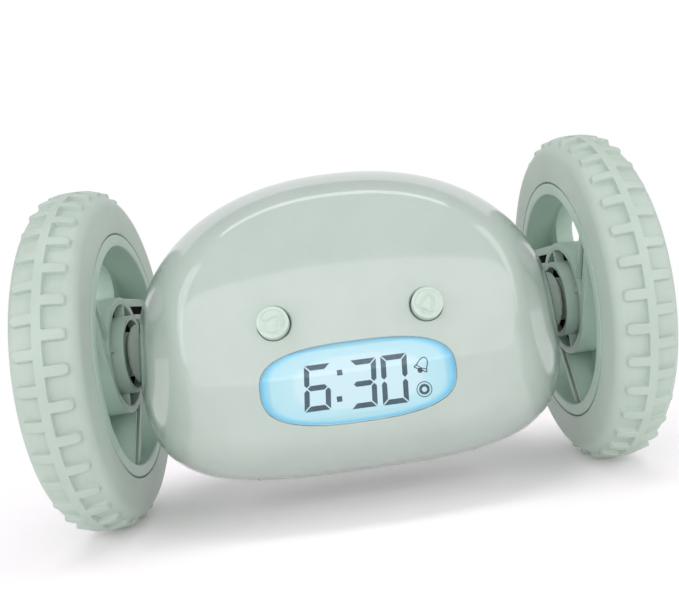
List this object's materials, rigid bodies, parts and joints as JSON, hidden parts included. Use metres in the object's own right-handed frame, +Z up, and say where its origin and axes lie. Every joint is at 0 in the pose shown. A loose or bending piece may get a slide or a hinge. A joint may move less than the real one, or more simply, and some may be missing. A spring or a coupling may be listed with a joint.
{
  "type": "alarm clock",
  "caption": "Pebble-shaped alarm clock on two large lugged wheels, with a lit display window in its domed face, push buttons front and back and a geared motor for each wheel.",
  "frame": {"origin": "on the floor, midway between the two wheels, under their common axis", "axes": "+X along the wheel axis towards the wheel on the right of the front view, +Z up; the display faces -Y"},
  "size_m": [0.147, 0.089, 0.089],
  "materials": {
    "body_shell": "gloss",
    "button": "gloss",
    "wheel_rim": "satin",
    "tyre": "matte",
    "lens": "gloss",
    "light_ring": "gloss",
    "display_glass": "gloss",
    "digit_ink": "matte",
    "white_plastic": "matte",
    "contact_rubber": "matte",
    "board": "satin",
    "black_plastic": "satin",
    "speaker_metal": "satin",
    "steel": "satin",
    "spring_wire": "satin",
    "brass": "satin",
    "cell": "gloss"
  },
  "bodies": {
    "clock_body": {"front_shell": "body_shell", "rear_shell": "body_shell", "window_lens": "lens", "window_rim": "light_ring", "lcd_glass": "display_glass", "lcd_digits": "digit_ink", "backlight_plate": "white_plastic", "lcd_frame": "white_plastic", "contact_strip": "contact_rubber", "main_board": "board", "control_chip": "black_plastic", "crystal": "steel", "capacitors": "black_plastic", "front_switches": "black_plastic", "rear_board": "board", "rear_switches": "black_plastic", "speaker": "speaker_metal", "battery_tray": "white_plastic", "contact_springs": "spring_wire", "contact_plates": "steel", "battery_1": "cell", "battery_2": "cell", "battery_3": "cell", "battery_4": "cell", "case_screws": "steel", "board_screws": "steel", "left_motor": "steel", "right_motor": "steel", "left_gearbox": "white_plastic", "right_gearbox": "white_plastic", "left_gearbox_cover": "white_plastic", "right_gearbox_cover": "white_plastic", "left_bush": "brass", "right_bush": "brass"},
    "left_wheel": {"left_tyre": "tyre", "left_rim": "wheel_rim", "left_hub_cap": "wheel_rim", "left_axle": "steel", "left_drive_gear": "white_plastic", "left_wheel_screw": "steel"},
    "left_idler_gear": {"left_idler": "white_plastic"},
    "left_motor_shaft": {"left_pinion": "brass"},
    "right_wheel": {"right_tyre": "tyre", "right_rim": "wheel_rim", "right_hub_cap": "wheel_rim", "right_axle": "steel", "right_drive_gear": "white_plastic", "right_wheel_screw": "steel"},
    "right_idler_gear": {"right_idler": "white_plastic"},
    "right_motor_shaft": {"right_pinion": "brass"},
    "sleep_button": {"sleep_button": "button"},
    "alarm_button": {"alarm_button": "button"},
    "hour_button": {"hour_button": "button"},
    "minute_button": {"minute_button": "button"},
    "set_button": {"set_button": "button"},
    "motion_button": {"motion_button": "button"},
    "door": {"battery_door": "body_shell"}
  },
  "joints": [
    {"name": "left_wheel_spin", "type": "hinge", "parent": "clock_body", "child": "left_wheel", "pos_m": [-0.066, 0, 0.0445], "axis": [1, 0, 0], "continuous": true},
    {"name": "left_idler_spin", "type": "hinge", "parent": "clock_body", "child": "left_idler_gear", "pos_m": [-0.034, 0, 0.0325], "axis": [1, 0, 0], "continuous": true},
    {"name": "left_motor_spin", "type": "hinge", "parent": "clock_body", "child": "left_motor_shaft", "pos_m": [-0.03, 0, 0.0445], "axis": [1, 0, 0], "continuous": true},
    {"name": "right_wheel_spin", "type": "hinge", "parent": "clock_body", "child": "right_wheel", "pos_m": [0.066, 0, 0.0445], "axis": [1, 0, 0], "continuous": true},
    {"name": "right_idler_spin", "type": "hinge", "parent": "clock_body", "child": "right_idler_gear", "pos_m": [0.034, 0, 0.0325], "axis": [1, 0, 0], "continuous": true},
    {"name": "right_motor_spin", "type": "hinge", "parent": "clock_body", "child": "right_motor_shaft", "pos_m": [0.03, 0, 0.0445], "axis": [1, 0, 0], "continuous": true},
    {"name": "sleep_button_press", "type": "slide", "parent": "clock_body", "child": "sleep_button", "axis": [0, 0.9781, -0.2079], "range_m": [0, 0.0008], "stiffness_N_per_m": 1500},
    {"name": "alarm_button_press", "type": "slide", "parent": "clock_body", "child": "alarm_button", "axis": [0, 0.9781, -0.2079], "range_m": [0, 0.0008], "stiffness_N_per_m": 1500},
    {"name": "hour_button_press", "type": "slide", "parent": "clock_body", "child": "hour_button", "axis": [0, -1, 0], "range_m": [0, 0.0006], "stiffness_N_per_m": 1500},
    {"name": "minute_button_press", "type": "slide", "parent": "clock_body", "child": "minute_button", "axis": [0, -1, 0], "range_m": [0, 0.0006], "stiffness_N_per_m": 1500},
    {"name": "set_button_press", "type": "slide", "parent": "clock_body", "child": "set_button", "axis": [0, -1, 0], "range_m": [0, 0.0006], "stiffness_N_per_m": 1500},
    {"name": "motion_button_press", "type": "slide", "parent": "clock_body", "child": "motion_button", "axis": [0, -1, 0], "range_m": [0, 0.0006], "stiffness_N_per_m": 1500},
    {"name": "door_slide", "type": "slide", "parent": "clock_body", "child": "door", "axis": [0, 0, -1], "range_m": [0, 0.006]}
  ],
  "couplings": [
    {"joint": "left_idler_spin", "follows": "left_wheel_spin", "ratio": -3},
    {"joint": "left_motor_spin", "follows": "left_wheel_spin", "ratio": 11.4},
    {"joint": "right_idler_spin", "follows": "right_wheel_spin", "ratio": -3},
    {"joint": "right_motor_spin", "follows": "right_wheel_spin", "ratio": 11.4}
  ]
}
